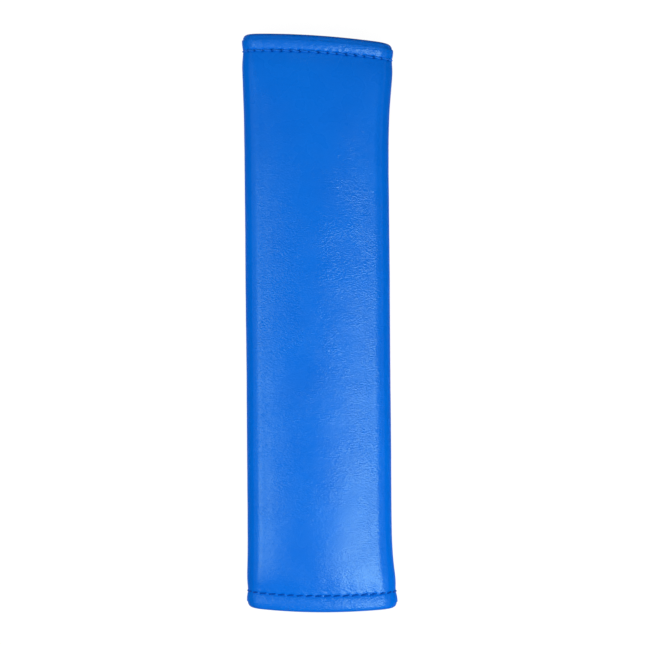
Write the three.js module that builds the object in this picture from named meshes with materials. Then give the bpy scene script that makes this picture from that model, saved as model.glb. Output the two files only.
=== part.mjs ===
// A seat belt shoulder pad: a padded sleeve that closes round a car's seat belt.
// One sheet of three layers (a coated leather cover, a foam core and a fabric lining) is wrapped
// into a flat tube. Its two flaps overlap under the pad and hold by a hook tape and a loop tape.
// At both ends the leather is turned in over the lining and sewn down through every layer.
//
// The pad lies closed on its back: X across it, Y along the belt, Z up through the padded front.
// The sheet's outer face is one line in the XZ plane, followed from the free edge of the inner flap,
// round the left fold, over the front, round the right fold to the free edge of the outer flap.
// Depth is measured inwards from that line, and inset is measured inwards from the nearer end.

import * as THREE from "three";

// The closed pad, in millimetres
const padLength = 235;
const waistWidth = 58.6; // over the folds, away from the ends
const endWidth = 62; // over the folds, at the hems
const waistHeight = 16.4; // of the side folds
const endHeight = 15.8;
const waistCrown = 2.2; // rise of the front above the side folds
const endCrown = 1.6;
const topFlareReach = 25; // how far the flattening at the top hem reaches along the pad
const bottomFlareReach = 16;
const topBow = 1.2; // how far the middle of the top end stands out past its corners
const bottomBow = 1.6;
const topSkew = 2.3; // how far the top end slants down from its middle to the right fold
const bottomSkew = 0.4;
const skewReach = 45; // how far the bow and the slant reach along the pad
const endLean = 0.8; // how much more the right fold stands out at the hems than the left one

// The layers
const leatherThickness = 1.0;
const foamThickness = 2.2;
const liningThickness = 0.4;
const layerGap = 0.15;
const foamInset = 3.2; // from the pad's end to the foam's
const liningInset = 2.6; // from the pad's end to the lining's
const foamTaper = 6; // length over which the foam thins out towards a flap
const foamEdgeGap = 0.5; // between the overlap and the taper
const leastFoam = 0.25; // share of its thickness at which the foam is cut off

// The hems
const hemWidth = 9; // leather turned in at each end
const hemStitchInset = 6.8;
const hemDip = 0.5; // how deep the seam pulls the padded cover in
const hemSqueeze = 0.9; // how far the seam draws the lining up
const pinchReach = 3.6; // how far the seam's pull reaches
const rollShare = 0.5; // share of the pull that is left at the hem's rolled edge

// The threads and the grooves that they lie in
const threadDiameter = 0.45;
const needleDiameter = 0.24; // of a thread where it enters the cover
const threadClearance = 0.1;
const stitchPitch = 3.8;
const grooveDepth = 0.6;
const grooveFloor = 0.7; // width of a groove at its bottom
const grooveLip = 1.6; // width of a groove at the surface
const threadEndMargin = 1.2; // from a free edge to the end of a seam

// The closure tapes
const tapeWidth = 16;
const tapeBase = 0.35; // woven base
const pileHeight = 0.55; // hooks or loops above the base
const selvedge = 2; // plain margin along each side of a tape
const flapMargin = 1.5; // from a tape to its flap's free edge
const tapeHemClearance = 1; // from a tape's end to the turned-in leather

// Sizes that follow from those above
const halfLength = padLength / 2;
const flapEdge = tapeWidth / 2 + flapMargin;
const flapThickness = leatherThickness + layerGap + liningThickness;
const tapeHeight = tapeBase + pileHeight;
const loopTapeZ = flapThickness + layerGap;
const hookTapeZ = loopTapeZ + 2 * tapeHeight + layerGap;
const innerFlapZ = hookTapeZ + layerGap;
const tapeEndInset = hemWidth + tapeHemClearance;
const tapeRowX = (tapeWidth - selvedge) / 2;

const mix = (a, b, share) => a + (b - a) * share;
const clamp = (value) => Math.min(1, Math.max(0, value));
const smooth = (t) => t * t * (3 - 2 * t);
const bell = (distance, reach) => Math.exp(-((distance / reach) ** 2));
const steps = (count) => Array.from({ length: count }, (_, i) => (i + 1) / count);

// The outer face's section at y: two fold arcs joined by a crown arc over a flat back.
function sectionAt(y) {
  const flare = bell(halfLength - Math.abs(y), y > 0 ? topFlareReach : bottomFlareReach);
  const halfWidth = mix(waistWidth, endWidth, flare) / 2;
  const foldRadius = mix(waistHeight, endHeight, flare) / 2;
  const crown = mix(waistCrown, endCrown, flare);
  const foldX = halfWidth - foldRadius;
  const crownAngle = 2 * Math.atan2(crown, foldX);
  const crownRadius = foldX / Math.sin(crownAngle) + foldRadius;
  const crownZ = 2 * foldRadius + crown - crownRadius;
  return { flare, halfWidth, foldRadius, foldX, crownAngle, crownRadius, crownZ };
}

const onArc = (centreX, centreZ, radius, angle) => ({
  x: centreX + radius * Math.cos(angle),
  z: centreZ + radius * Math.sin(angle),
  normalX: Math.cos(angle),
  normalZ: Math.sin(angle),
});

const onBack = (x, z) => ({ x, z, normalX: 0, normalZ: -1 });

// Each stretch of the wrap gives the outer face's point and outward normal from its section and t, 0 to 1.
const innerFlap = (s, t) => onBack(mix(flapEdge, -flapEdge, t), innerFlapZ);

function ramp(s, t) {
  const run = s.foldX - flapEdge;
  const slope = (6 * t * (1 - t) * innerFlapZ) / run;
  const length = Math.hypot(1, slope);
  return {
    x: mix(-flapEdge, -s.foldX, t),
    z: innerFlapZ * (1 - smooth(t)),
    normalX: slope / length,
    normalZ: -1 / length,
  };
}

const leftFold = (s, t) =>
  onArc(-s.foldX, s.foldRadius, s.foldRadius, -Math.PI / 2 - t * (Math.PI - s.crownAngle));

const front = (s, t) =>
  onArc(0, s.crownZ, s.crownRadius, Math.PI / 2 + s.crownAngle * (1 - 2 * t));

const rightFold = (s, t) =>
  onArc(s.foldX, s.foldRadius, s.foldRadius, Math.PI / 2 - s.crownAngle - t * (Math.PI - s.crownAngle));

const backToOverlap = (s, t) => onBack(mix(s.foldX, flapEdge, t), 0);

const outerFlap = (s, t) => onBack(mix(flapEdge, -flapEdge, t), 0);

// Where along the outer flap the two rows of the loop tape's seams need their grooves, as t.
const grooveStations = [tapeRowX, -tapeRowX].flatMap((row) =>
  [grooveLip / 2, grooveFloor / 2, -grooveFloor / 2, -grooveLip / 2].map(
    (offset) => (flapEdge - row - offset) / (2 * flapEdge),
  ),
);

// The stations round the wrap, from free edge to free edge
const stations = [
  { stretch: innerFlap, t: 0 },
  ...steps(2).map((t) => ({ stretch: innerFlap, t })),
  ...steps(5).map((t) => ({ stretch: ramp, t })),
  ...steps(8).map((t) => ({ stretch: leftFold, t })),
  ...steps(4).map((t) => ({ stretch: front, t })),
  ...steps(8).map((t) => ({ stretch: rightFold, t })),
  ...steps(2).map((t) => ({ stretch: backToOverlap, t })),
  ...grooveStations.map((t) => ({ stretch: outerFlap, t })),
  { stretch: outerFlap, t: 1 },
];

function wrapPoint(index, y) {
  const low = Math.min(Math.floor(index), stations.length - 2);
  const section = sectionAt(y);
  const [a, b] = [stations[low], stations[low + 1]].map((s) => s.stretch(section, s.t));
  const share = index - low;
  const point = {};
  for (const key of Object.keys(a)) point[key] = mix(a[key], b[key], share);
  point.section = section;
  return point;
}

// The bow and the slant of the ends move a point along the pad. across is -1 to 1 from fold to fold.
function endShift(across, y) {
  const share = smooth(clamp(1 - (halfLength - Math.abs(y)) / skewReach));
  const shift = y > 0 ? -topBow * across ** 2 - topSkew * across : bottomBow * across ** 2 - bottomSkew * across;
  return share * shift;
}

function place(index, y, depth) {
  const p = wrapPoint(index, y);
  const x = p.x - p.normalX * depth;
  const across = x / p.section.halfWidth;
  const lean = endLean * p.section.flare * across ** 2;
  return new THREE.Vector3(x + lean, y + endShift(across, y), p.z - p.normalZ * depth);
}

// The foam's share of its full thickness: none in the overlapping flaps, all of it past the taper.
function foamShare(index) {
  const { stretch, t } = stations[index];
  if (stretch === innerFlap || stretch === outerFlap) return 0;
  if (stretch !== ramp && stretch !== backToOverlap) return 1;
  const distance = Math.abs(stretch(sectionAt(0), t).x) - flapEdge - foamEdgeGap;
  return clamp(distance / foamTaper);
}

// The seam's pull on the padded layers, 1 at the stitches
function pull(inset) {
  const distance = inset - hemStitchInset;
  if (distance > 0) return bell(distance, pinchReach);
  return mix(rollShare, 1, bell(distance, pinchReach / 2));
}

// Depths of the layers' faces at a station with this share of foam
const coverDepth = (share, inset) => hemDip * pull(inset) * share;
const coverBackDepth = (share, inset) => coverDepth(share, inset) + leatherThickness;
const liningFaceDepth = (share, inset) =>
  flapThickness + (foamThickness + layerGap - hemSqueeze * pull(inset)) * share;
const liningBackDepth = (share, inset) => liningFaceDepth(share, inset) - liningThickness;
const turnInDepth = (share, inset) => liningFaceDepth(share, inset) + layerGap;

function rowGroove(index, inset) {
  const { stretch, t } = stations[index];
  if (stretch !== outerFlap || inset < tapeEndInset) return 0;
  const x = Math.abs(stretch(null, t).x);
  return Math.abs(x - tapeRowX) <= grooveFloor / 2 + 1e-6 ? grooveDepth : 0;
}

// Insets of the samples along the pad between the hems' seams
const mainInsets = [tapeEndInset, 18, 38, halfLength];
const seamInsets = [grooveLip / 2, grooveFloor / 2, -grooveFloor / 2, -grooveLip / 2].map(
  (offset) => hemStitchInset - offset,
);
const rollSteps = 4;

// A closed profile mirrored about the pad's middle: half of it runs from the middle of one face to the
// middle of the other, as [inset, depth] pairs at the top end. It comes back as [y, depth] pairs.
function mirrored(half) {
  const top = half.map(([inset, depth]) => [halfLength - inset, depth]);
  const bottom = half.slice(1, -1).map(([inset, depth]) => [inset - halfLength, depth]);
  return [...top, ...bottom.reverse()];
}

// The leather's profile along the pad: one web with both ends turned in.
function leatherProfile(index) {
  const share = foamShare(index);
  const rollInner = turnInDepth(share, 0) + leatherThickness;
  const rollRadius = (rollInner - coverDepth(share, 0)) / 2;
  const rollDepth = coverDepth(share, 0) + rollRadius;
  const roll = (radius) => (angle) => [
    rollRadius - radius * Math.sin(angle),
    rollDepth - radius * Math.cos(angle),
  ];
  const turns = Array.from({ length: rollSteps + 1 }, (_, i) => (i * Math.PI) / rollSteps);
  const flapInsets = [(rollRadius + hemStitchInset) / 2, hemStitchInset, hemWidth];
  const half = [
    ...[...mainInsets].reverse().map((inset) => [inset, coverDepth(share, inset) + rowGroove(index, inset)]),
    ...[...seamInsets].reverse().map((inset, i) => [
      inset,
      coverDepth(share, inset) + (i === 1 || i === 2 ? grooveDepth : 0),
    ]),
    ...turns.map(roll(rollRadius)),
    ...flapInsets.map((inset) => [inset, turnInDepth(share, inset) + leatherThickness]),
    ...[...flapInsets].reverse().map((inset) => [inset, turnInDepth(share, inset)]),
    ...turns.map(roll(rollRadius - leatherThickness)).reverse(),
    ...[hemStitchInset, ...mainInsets].map((inset) => [inset, coverBackDepth(share, inset)]),
  ];
  return mirrored(half);
}

function foamProfile(index) {
  const share = foamShare(index);
  const insets = [foamInset, hemStitchInset, ...mainInsets];
  return mirrored([
    ...[...insets].reverse().map((inset) => [inset, coverBackDepth(share, inset) + layerGap]),
    ...insets.map((inset) => [inset, liningBackDepth(share, inset) - layerGap]),
  ]);
}

function liningProfile(index) {
  const share = foamShare(index);
  const insets = [liningInset, hemStitchInset, hemWidth, ...mainInsets];
  return mirrored([
    ...[...insets].reverse().map((inset) => [inset, liningBackDepth(share, inset)]),
    ...insets.map((inset) => [inset, liningFaceDepth(share, inset)]),
  ]);
}

// A closed solid through rings of points, one ring a section, with its first and last ring capped.
// flatRing is that first or last ring as [a, b] pairs in its own plane.
function solidThrough(rings, flatRing) {
  const around = rings[0].length;
  const faces = [];
  for (let i = 0; i + 1 < rings.length; i++)
    for (let j = 0; j < around; j++) {
      const [a, b] = [i * around + j, i * around + ((j + 1) % around)];
      faces.push(a, b + around, b, a, a + around, b + around);
    }
  const contour = flatRing.map(([a, b]) => new THREE.Vector2(a, b));
  const last = (rings.length - 1) * around;
  for (const [a, b, c] of THREE.ShapeUtils.triangulateShape(contour, [])) {
    faces.push(a, b, c);
    faces.push(last + a, last + c, last + b);
  }
  const geometry = new THREE.BufferGeometry().setFromPoints(rings.flat());
  geometry.setIndex(faces);
  geometry.computeVertexNormals();
  return geometry;
}

function wrapLayer(profileAt, indices) {
  const rings = indices.map((i) => profileAt(i).map(([y, depth]) => place(i, y, depth)));
  return solidThrough(rings, profileAt(indices[0]));
}

// One seam's thread: full where it lies on the cover and thin where the needle took it through.
// centreAt(distance, depth) gives the thread's centre, and outward the way out of the cover there.
function seamThread(length, sides, fullAt, centreAt) {
  const count = Math.max(2, Math.round(length / stitchPitch));
  const marks = [0];
  for (let i = 0; i < count; i++) for (const t of [...fullAt, 1]) marks.push((i + t) / count);
  const onNeedle = (mark) => Math.abs(mark * count - Math.round(mark * count)) < 1e-6;
  const ring = Array.from({ length: sides }, (_, k) => (2 * Math.PI * k) / sides);
  const rings = marks.map((mark) => {
    const radius = (onNeedle(mark) ? needleDiameter : threadDiameter) / 2;
    const { centre, outward, across } = centreAt(mark * length, threadClearance + radius);
    return ring.map((angle) =>
      centre
        .clone()
        .addScaledVector(outward, radius * Math.cos(angle))
        .addScaledVector(across, radius * Math.sin(angle)),
    );
  });
  return solidThrough(rings, ring.map((angle) => [Math.cos(angle), Math.sin(angle)]));
}

// The seam of a hem goes all round the wrap at one y. side is 1 for the top end and -1 for the bottom.
function hemThread(side) {
  const y = side * (halfLength - hemStitchInset);
  const grooveBottom = (index) => {
    const low = Math.min(Math.floor(index), stations.length - 2);
    const share = mix(foamShare(low), foamShare(low + 1), index - low);
    return coverDepth(share, hemStitchInset) + grooveDepth;
  };
  const walked = [0];
  for (let i = 1; i < stations.length; i++)
    walked.push(walked[i - 1] + place(i, y, 0).distanceTo(place(i - 1, y, 0)));
  const total = walked[walked.length - 1] - 2 * threadEndMargin;
  const indexAt = (distance) => {
    const target = distance + threadEndMargin;
    const next = Math.max(1, walked.findIndex((w) => w >= target - 1e-9));
    return next - 1 + (target - walked[next - 1]) / (walked[next] - walked[next - 1]);
  };
  return seamThread(total, 6, [0.25, 0.75], (distance, rise) => {
    const index = indexAt(distance);
    const p = wrapPoint(index, y);
    return {
      centre: place(index, y, grooveBottom(index) - rise),
      outward: new THREE.Vector3(p.normalX, 0, p.normalZ).normalize(),
      across: new THREE.Vector3(0, 1, 0),
    };
  });
}

// A straight seam along the pad at x, on a face at z that looks up or down.
function tapeThread(x, z, up) {
  const start = halfLength - tapeEndInset - threadEndMargin;
  return seamThread(2 * start, 4, [0.5], (distance, rise) => ({
    centre: new THREE.Vector3(x, start - distance, z + up * rise),
    outward: new THREE.Vector3(0, 0, up),
    across: new THREE.Vector3(up, 0, 0),
  }));
}

// A closure tape: a woven base with a raised field of hooks or loops between its selvedges.
function closureTape() {
  const half = tapeWidth / 2;
  const field = half - selvedge;
  const outline = new THREE.Shape();
  outline.moveTo(-half, 0);
  outline.lineTo(half, 0);
  outline.lineTo(half, tapeBase);
  outline.lineTo(field, tapeBase);
  outline.lineTo(field, tapeHeight);
  outline.lineTo(-field, tapeHeight);
  outline.lineTo(-field, tapeBase);
  outline.lineTo(-half, tapeBase);
  outline.closePath();
  const depth = padLength - 2 * tapeEndInset;
  const geometry = new THREE.ExtrudeGeometry(outline, { depth, bevelEnabled: false });
  return geometry.translate(0, 0, -depth / 2).rotateX(Math.PI / 2);
}

const finish = (color, roughness, metalness = 0) =>
  new THREE.MeshStandardMaterial({ color, roughness, metalness });
const blueLeather = finish(0x0068d6, 0.42);
const blueThread = finish(0x1458b8, 0.6);
const greyFoam = finish(0x8d9096, 0.95);
const blackLining = finish(0x1b1c20, 0.9);
const blackTape = finish(0x141518, 0.85);

const pad = new THREE.Group();

function add(name, geometry, material) {
  const mesh = new THREE.Mesh(geometry, material);
  mesh.name = name;
  pad.add(mesh);
  return mesh;
}

const allStations = stations.map((_, i) => i);
add("leather_cover", wrapLayer(leatherProfile, allStations), blueLeather);
const foamStations = allStations.filter((i) => foamShare(i) >= leastFoam);
add("foam_core", wrapLayer(foamProfile, foamStations), greyFoam);
add("lining", wrapLayer(liningProfile, allStations), blackLining);

add("loop_tape", closureTape(), blackTape).position.z = loopTapeZ;
const hookTape = add("hook_tape", closureTape(), blackTape);
hookTape.position.z = hookTapeZ;
hookTape.rotation.y = Math.PI;

add("top_hem_thread", hemThread(1), blueThread);
add("bottom_hem_thread", hemThread(-1), blueThread);
for (const [side, x] of [["left", -tapeRowX], ["right", tapeRowX]]) {
  add(`loop_tape_${side}_thread`, tapeThread(x, grooveDepth, -1), blueThread);
  add(`hook_tape_${side}_thread`, tapeThread(x, innerFlapZ + flapThickness, 1), blueThread);
}

// The origin is at the middle of the pad's box, on the surface that it lies on.
const box = new THREE.Box3().setFromObject(pad);
const middle = box.getCenter(new THREE.Vector3());
pad.position.set(-middle.x, -middle.y, -box.min.z);

export default pad;
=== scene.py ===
# A seat belt shoulder pad: a padded sleeve of blue coated leather that closes round a car's seat belt.
# One sheet of leather, foam and knitted lining is wrapped into a flat tube. Its flaps overlap underneath
# and hold by a hook tape and a loop tape. At both ends the leather is turned in and sewn through.
#
# The pad lies on its back in the frame's axes: X across it, Y along the belt, Z up through the front.
# Forms are worked out in millimetres on the flat sheet and wrapped into place. A point of the sheet has
# a place round the wrap, a y along the pad, and a depth inwards from the leather's outer face.

import math

import bpy
import numpy as np
from mathutils import Euler, Matrix, Vector, geometry


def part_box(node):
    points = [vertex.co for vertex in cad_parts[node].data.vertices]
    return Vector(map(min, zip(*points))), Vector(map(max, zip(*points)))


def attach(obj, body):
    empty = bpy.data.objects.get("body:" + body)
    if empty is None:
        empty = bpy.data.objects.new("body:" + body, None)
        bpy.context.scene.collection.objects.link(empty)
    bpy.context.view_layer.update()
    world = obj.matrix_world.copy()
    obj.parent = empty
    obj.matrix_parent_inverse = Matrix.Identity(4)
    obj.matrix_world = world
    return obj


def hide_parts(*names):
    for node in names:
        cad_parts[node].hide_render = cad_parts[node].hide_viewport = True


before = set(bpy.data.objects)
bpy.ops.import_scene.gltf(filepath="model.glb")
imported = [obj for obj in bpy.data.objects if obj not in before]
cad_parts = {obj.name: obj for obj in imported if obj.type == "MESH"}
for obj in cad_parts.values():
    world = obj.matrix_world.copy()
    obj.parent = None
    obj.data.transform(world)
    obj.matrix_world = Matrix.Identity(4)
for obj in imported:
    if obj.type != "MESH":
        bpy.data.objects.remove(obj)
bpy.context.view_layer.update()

MM = 0.001  # the frame is in metres

# The closed pad
PAD_LENGTH = 235.0
WAIST_WIDTH = 58.6
END_WIDTH = 62.0
WAIST_HEIGHT = 16.4
END_HEIGHT = 15.8
WAIST_CROWN = 2.2
END_CROWN = 1.6
TOP_FLARE_REACH = 25.0
BOTTOM_FLARE_REACH = 16.0
TOP_BOW = 1.2
BOTTOM_BOW = 1.6
TOP_SKEW = 2.3
BOTTOM_SKEW = 0.4
SKEW_REACH = 45.0
END_LEAN = 0.8
FRONT_RISE = 0.45  # how far the padding lifts the front above its plain arc
JOIN_REACH = 4.5
SHOULDER = 0.35  # how far the foam's bent edges stand out, just past the front's joins with the folds
SHOULDER_PAST = 2.5
SHOULDER_REACH = 3.2

# The layers
LEATHER = 1.0
FOAM = 2.2
LINING = 0.4
LAYER_GAP = 0.15
FOAM_INSET = 3.2
LINING_INSET = 2.6
FOAM_TAPER = 6.0
FOAM_EDGE_GAP = 0.5
LEAST_FOAM = 0.25
LEAST_CORE = 0.05  # what the seam leaves of the foam's thickness
LEAST_WEB = 0.15  # what a needle hole's pit leaves of the leather's

# The hems and their seams
HEM_WIDTH = 9.0
SEAM_INSET = 6.8
HEM_DIP = 0.5
HEM_SQUEEZE = 0.9
PINCH_REACH = 3.6
ROLL_SHARE = 0.5
FIELD_DIP = 0.25  # the seam's wider, softer pull on the padded field
FIELD_REACH = 8.0
STITCH = 3.8
THREAD_WIDTH = 0.56
SEAM_END = 1.2  # from a free edge to the first needle hole

# The relief that a seam presses into the leather
GROOVE_DEPTH = 0.32
GROOVE_REACH = 0.6
HOLE_LENGTH = 0.65  # half the length of a needle hole's pit, along the seam
HOLE_WIDTH = 0.5
FADE_REACH = 0.75

# Each seam: its pits' depth, how far its groove fades out at them, how far its hem bulges up beside it,
# and how far the leather crinkles there
TOP_SEAM = {"pit": 0.85, "fade": 0.0, "puff": 0.34, "crinkle": 0.05}
BOTTOM_SEAM = {"pit": 0.05, "fade": 0.9, "puff": 0.12, "crinkle": 0.01}
EMBOSS = 0.45  # how far the leather's back stands out under a seam of the padded part
EMBOSS_REACH = 0.8
TURN_IN_SHARE = 0.8  # how much of a seam's relief the turned-in leather takes
PUCKER = 0.08  # how far the leather stands up between two needle holes
FIELD_PUCKER_REACH = 1.3
HEM_PUCKER_REACH = 2.4
FOLD_TENSION = 0.75
FOLD_REACH = 0.3  # as a share of the fold
FOLD_SWELL = 0.22  # how far the padding swells the folds
PUCKER_SLANT = 0.55  # how far the puckers lean over, in stitches over their reach

# How uneven the relief is: heights or shares, and the lengths of waves
PIT_MEAN = 0.82
PIT_SPREAD = 0.22
PIT_WAVE = 10.0
LEAST_PIT = 0.3
PUCKER_SPREAD = 0.35
PUCKER_WAVE = 9.0
LEAN_SPREAD = 0.12
LEAN_WAVE = 14.0
CRINKLE_WAVE = 2.3
CRINKLE_MIDDLE = -1.6  # across the seam, on the hem
CRINKLE_REACH = 1.5
DRAG = 0.05  # the seam's drags on the field, drawn out along the pad
DRAG_WAVE = 7.0
DRAG_STRETCH = 0.12
DRAG_REACH = 9.0
SWELL = 0.05  # the padding's broad swells and, finer, its ripples
SWELL_WAVE = 34.0
SWELL_STRETCH = 0.6
RIPPLE = 0.015
RIPPLE_WAVE = 13.0
SWELL_START = 10.0  # from the seam to where the swells reach their full height
TAPE_ROW_START = 3.0
LINING_SLACK = 0.07  # within the gap to the foam
LINING_WAVE = 19.0
LINING_START = 6.0

# The closure tapes
TAPE_WIDTH = 16.0
TAPE_BASE = 0.35
PILE_HEIGHT = 0.55
SELVEDGE = 2.0
FLAP_MARGIN = 1.5
TAPE_HEM_CLEARANCE = 1.0

# Sizes that follow from those above
HALF_LENGTH = PAD_LENGTH / 2
FLAP_EDGE = TAPE_WIDTH / 2 + FLAP_MARGIN
FLAP_THICKNESS = LEATHER + LAYER_GAP + LINING
TAPE_HEIGHT = TAPE_BASE + PILE_HEIGHT
LOOP_TAPE_Z = FLAP_THICKNESS + LAYER_GAP
HOOK_TAPE_Z = LOOP_TAPE_Z + 2 * TAPE_HEIGHT + LAYER_GAP
INNER_FLAP_Z = HOOK_TAPE_Z + LAYER_GAP
TAPE_END_INSET = HEM_WIDTH + TAPE_HEM_CLEARANCE
TAPE_ROW_X = (TAPE_WIDTH - SELVEDGE) / 2
SEAM_Y = HALF_LENGTH - SEAM_INSET

# The pad's own middle in the frame: both tapes lie in it.
tape_low, tape_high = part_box("loop_tape")
MIDDLE = np.array([(tape_low.x + tape_high.x) / 2, (tape_low.y + tape_high.y) / 2, 0.0])

# How finely the meshes are divided
WALK_STEPS = 2801
STEPS_PER_STITCH = 8
FOAM_STEPS = 180
LINING_STEPS = 221
TAPE_ROWS = 216
TAPE_COLUMNS = 25
SEAM_SPAN = 3.2  # how far finer rows of the mesh reach to either side of a seam
ROLL_STEPS = 12


def mix(a, b, share):
    return a + (b - a) * share


def smooth(t):
    return t * t * (3 - 2 * t)


def bell(distance, reach):
    return np.exp(-((distance / reach) ** 2))


def waves(a, b, length, seed, count=18, spread=0.35):
    """A gentle random relief from about -1 to 1 over a and b, made of plane waves of about one length."""
    random = np.random.default_rng(seed)
    total = 0.0
    for _ in range(count):
        turn = random.uniform(0, 2 * math.pi)
        pitch = length * random.uniform(1 - spread, 1 + spread)
        along = (a * math.cos(turn) + b * math.sin(turn)) / pitch
        total = total + np.sin(2 * math.pi * (along + random.uniform(0, 1)))
    return total / math.sqrt(count)


# The wrap. A place round it is a stretch's number plus the share of it: 0 the inner flap, 1 the ramp,
# 2 the left fold, 3 the front, 4 the right fold, 5 the back up to the overlap, 6 the outer flap.
STRETCHES = 7


def section(y):
    """The outer face's section at y: two fold arcs joined by a crown arc over a flat back."""
    reach = np.where(np.asarray(y) > 0, TOP_FLARE_REACH, BOTTOM_FLARE_REACH)
    flare = bell(HALF_LENGTH - np.abs(y), reach)
    half_width = mix(WAIST_WIDTH, END_WIDTH, flare) / 2
    fold = mix(WAIST_HEIGHT, END_HEIGHT, flare) / 2
    crown = mix(WAIST_CROWN, END_CROWN, flare)
    fold_x = half_width - fold
    angle = 2 * np.arctan2(crown, fold_x)
    radius = fold_x / np.sin(angle) + fold
    return flare, half_width, fold, fold_x, angle, radius, 2 * fold + crown - radius


def front_rise(place, fold_length, front_length):
    """How far the padding lifts the front. The lift fades out round the folds: their joins stay soft."""
    from_left = np.where(place < 3, (place - 3) * fold_length, (place - 3) * front_length)
    from_right = np.where(place > 4, (4 - place) * fold_length, (4 - place) * front_length)
    inside = np.minimum(from_left, from_right)
    lift = FRONT_RISE * smooth(np.clip((inside + JOIN_REACH) / (2 * JOIN_REACH), 0, 1))
    return lift + SHOULDER * bell(inside + SHOULDER_PAST, SHOULDER_REACH)


def outer_face(place, y):
    """x and z of the outer face and of its outward normal, at a place round the wrap and y."""
    place, y = np.broadcast_arrays(np.asarray(place, float), np.asarray(y, float))
    _, _, fold, fold_x, angle, radius, crown_z = section(y)
    number = np.clip(np.floor(place), 0, STRETCHES - 1)
    t = place - number
    slope = 6 * t * (1 - t) * INNER_FLAP_Z / (fold_x - FLAP_EDGE)
    steep = np.hypot(1, slope)
    left = -math.pi / 2 - t * (math.pi - angle)
    over = math.pi / 2 + angle * (1 - 2 * t)
    right = math.pi / 2 - angle - t * (math.pi - angle)
    none = np.zeros_like(t)
    stretches = [
        (mix(FLAP_EDGE, -FLAP_EDGE, t), none + INNER_FLAP_Z, none, none - 1),
        (mix(-FLAP_EDGE, -fold_x, t), INNER_FLAP_Z * (1 - smooth(t)), slope / steep, -1 / steep),
        (fold * np.cos(left) - fold_x, fold * (1 + np.sin(left)), np.cos(left), np.sin(left)),
        (radius * np.cos(over), crown_z + radius * np.sin(over), np.cos(over), np.sin(over)),
        (fold_x + fold * np.cos(right), fold * (1 + np.sin(right)), np.cos(right), np.sin(right)),
        (mix(fold_x, FLAP_EDGE, t), none, none, none - 1),
        (mix(FLAP_EDGE, -FLAP_EDGE, t), none, none, none - 1),
    ]
    which = [number == i for i in range(STRETCHES)]
    x, z, normal_x, normal_z = [np.select(which, [stretch[k] for stretch in stretches]) for k in range(4)]
    rise = front_rise(place, fold * (math.pi - angle), 2 * radius * angle)
    return x + normal_x * rise, z + normal_z * rise, normal_x, normal_z


def wrapped(place, y, depth):
    """Points of the closed pad, in millimetres, for places, ys and depths of the same shape."""
    x, z, normal_x, normal_z = outer_face(place, y)
    flare, half_width = section(y)[:2]
    x = x - normal_x * depth
    across = x / half_width
    bent = smooth(np.clip(1 - (HALF_LENGTH - np.abs(y)) / SKEW_REACH, 0, 1))
    top = -TOP_BOW * across**2 - TOP_SKEW * across
    bottom = BOTTOM_BOW * across**2 - BOTTOM_SKEW * across
    shift = np.where(y > 0, top, bottom)
    return np.stack([x + END_LEAN * flare * across**2, y + bent * shift, z - normal_z * depth], -1)


def above_floor(place, y, depth, clearance=0.0):
    """Depths held back so that nothing of the pad reaches below the surface it lies on."""
    _, z, _, normal_z = outer_face(place, y)
    least = (clearance - z) / np.maximum(-normal_z, 0.05)
    return np.where(normal_z < 0, np.maximum(depth, least), depth)


def foam_share(place):
    """The foam's share of its full thickness: none in the overlapping flaps, all of it past the taper."""
    x = np.abs(outer_face(place, 0.0)[0])
    share = np.clip((x - FLAP_EDGE - FOAM_EDGE_GAP) / FOAM_TAPER, 0, 1)
    flaps = (place < 1) | (place >= STRETCHES - 1)
    folds = (place >= 2) & (place < 5)
    return np.where(flaps, 0, np.where(folds, 1, share))


def walk_round(y, depth):
    """A fine table of places round the wrap and the distance walked to each, at y and a depth."""
    places = np.linspace(0, STRETCHES, WALK_STEPS)
    places[-1] = STRETCHES - 1e-9
    points = wrapped(places, np.full_like(places, y), np.full_like(places, depth))
    walked = np.concatenate([[0], np.cumsum(np.linalg.norm(np.diff(points, axis=0), axis=1))])
    return places, walked


WALK_PLACES, WALK = walk_round(SEAM_Y, 0.0)
WRAP_LENGTH = WALK[-1]
SEAM_STITCHES = round((WRAP_LENGTH - 2 * SEAM_END) / STITCH)
SEAM_PITCH = (WRAP_LENGTH - 2 * SEAM_END) / SEAM_STITCHES
FRONT_MIDDLE = float(np.interp(3.5, WALK_PLACES, WALK))


def place_at(walked):
    """The place round the wrap at a distance from the inner flap's free edge, as measured at a seam."""
    return np.interp(walked, WALK, WALK_PLACES)


def pull(inset):
    """The seam's pull on the padded layers, 1 at the stitches."""
    distance = inset - SEAM_INSET
    within = mix(ROLL_SHARE, 1, bell(distance, PINCH_REACH / 2))
    return np.where(distance > 0, bell(distance, PINCH_REACH), within)


def cover_depth(share, inset):
    return HEM_DIP * pull(inset) * share


def lining_face_depth(share, inset):
    return FLAP_THICKNESS + (FOAM + LAYER_GAP - HEM_SQUEEZE * pull(inset)) * share


def turn_in_depth(share, inset):
    return lining_face_depth(share, inset) + LAYER_GAP


def to_hole(walked):
    """The distance along a seam to its nearest needle hole."""
    turn = (walked - SEAM_END) / SEAM_PITCH
    return (turn - np.round(turn)) * SEAM_PITCH


def pits(walked, across):
    """Near 1 at the middle of every needle hole, some of them weaker, and 0 away from them."""
    strength = PIT_MEAN + PIT_SPREAD * waves(walked, across * 0, PIT_WAVE, 65)
    strength = np.clip(strength, LEAST_PIT, 1.0)
    return strength * bell(np.hypot(to_hole(walked) / HOLE_LENGTH, across / HOLE_WIDTH), 1)


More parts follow.
